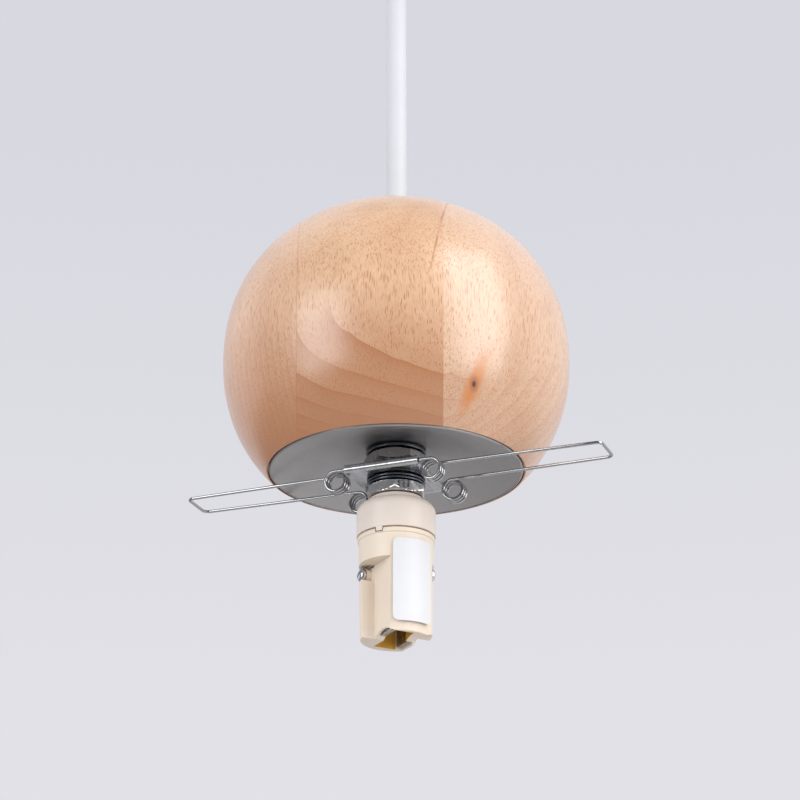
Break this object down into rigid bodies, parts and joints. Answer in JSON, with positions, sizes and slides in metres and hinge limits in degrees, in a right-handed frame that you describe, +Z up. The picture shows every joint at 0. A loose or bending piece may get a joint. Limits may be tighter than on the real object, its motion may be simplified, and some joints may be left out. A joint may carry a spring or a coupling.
{
  "type": "pendant light",
  "caption": "Pendant light with a ceiling rose, a white cord, a turned wooden ball, a steel base disc, sprung wire shade clips and a small two-pin lampholder.",
  "frame": {"origin": "on the ceiling plane, at the middle of the ceiling strap's top face, on the lamp's own axis", "axes": "+Z up along the cord towards the ceiling, +X along the wire arms, +Y across them"},
  "size_m": [0.1258, 0.1, 0.2706],
  "materials": {
    "beech": "satin lacquer over three glued staves",
    "white_sheath": "satin",
    "white_paint": "satin paint",
    "white_nylon": "moulded",
    "brushed_steel": "fine satin",
    "bright_zinc": "bright plated",
    "dark_steel": "dark plated",
    "cream_resin": "moulded, slightly glossy",
    "brass": "plain",
    "contact_nickel": "pressed strip",
    "blank_label": "bare white label",
    "brown_core": "insulation",
    "blue_core": "insulation"
  },
  "bodies": {
    "ceiling": {"rose_cup": "white_paint", "ceiling_strap": "bright_zinc", "rose_screw_left": "bright_zinc", "rose_screw_right": "bright_zinc", "cord_grip": "white_nylon", "grip_screw": "bright_zinc", "grip_nut": "bright_zinc", "cord_tail": "white_sheath", "terminal_block": "cream_resin", "block_screw": "bright_zinc", "pole_screw_live": "brass", "pole_screw_neutral": "brass", "tail_core_live": "brown_core", "tail_core_neutral": "blue_core"},
    "cord": {"cord": "white_sheath"},
    "lamp": {"cord_inner": "white_sheath", "wood_ball": "beech", "anchor_plate": "bright_zinc", "wood_screw_left": "bright_zinc", "wood_screw_right": "bright_zinc", "threaded_tube": "bright_zinc", "upper_nut": "bright_zinc", "jam_nut": "bright_zinc", "cord_clamp": "white_nylon", "clamp_screw": "bright_zinc", "base_disc": "brushed_steel", "disc_washer": "dark_steel", "disc_nut": "bright_zinc", "clip_bracket": "bright_zinc", "lock_washer": "dark_steel", "plain_washer": "dark_steel", "lower_nut": "bright_zinc", "right_leg_front": "bright_zinc", "right_leg_rear": "bright_zinc", "left_leg_front": "bright_zinc", "left_leg_rear": "bright_zinc", "holder_cap": "cream_resin", "holder_body": "cream_resin", "contact_live": "contact_nickel", "contact_neutral": "contact_nickel", "side_screw_live": "bright_zinc", "side_screw_neutral": "bright_zinc", "barrel_live": "contact_nickel", "barrel_neutral": "contact_nickel", "core_live": "brown_core", "core_neutral": "blue_core", "rating_label": "blank_label"},
    "right_clip": {"right_clip_arm": "bright_zinc"},
    "left_clip": {"left_clip_arm": "bright_zinc"}
  },
  "joints": [
    {"name": "cord_swing", "type": "hinge", "parent": "ceiling", "child": "cord", "pos_m": [0, 0, -0.04], "axis": [1, 0, 0], "range_deg": [-15, 15]},
    {"name": "lamp_tilt", "type": "hinge", "parent": "cord", "child": "lamp", "pos_m": [0, 0, -0.14], "axis": [0, 1, 0], "range_deg": [-12, 12]},
    {"name": "right_clip_fold", "type": "hinge", "parent": "lamp", "child": "right_clip", "pos_m": [0.0144, 0, -0.22513], "axis": [0, 1, 0], "range_deg": [0, 80], "stiffness_Nm_per_rad": 0.24},
    {"name": "left_clip_fold", "type": "hinge", "parent": "lamp", "child": "left_clip", "pos_m": [-0.0144, 0, -0.22513], "axis": [0, -1, 0], "range_deg": [0, 80], "stiffness_Nm_per_rad": 0.24}
  ]
}
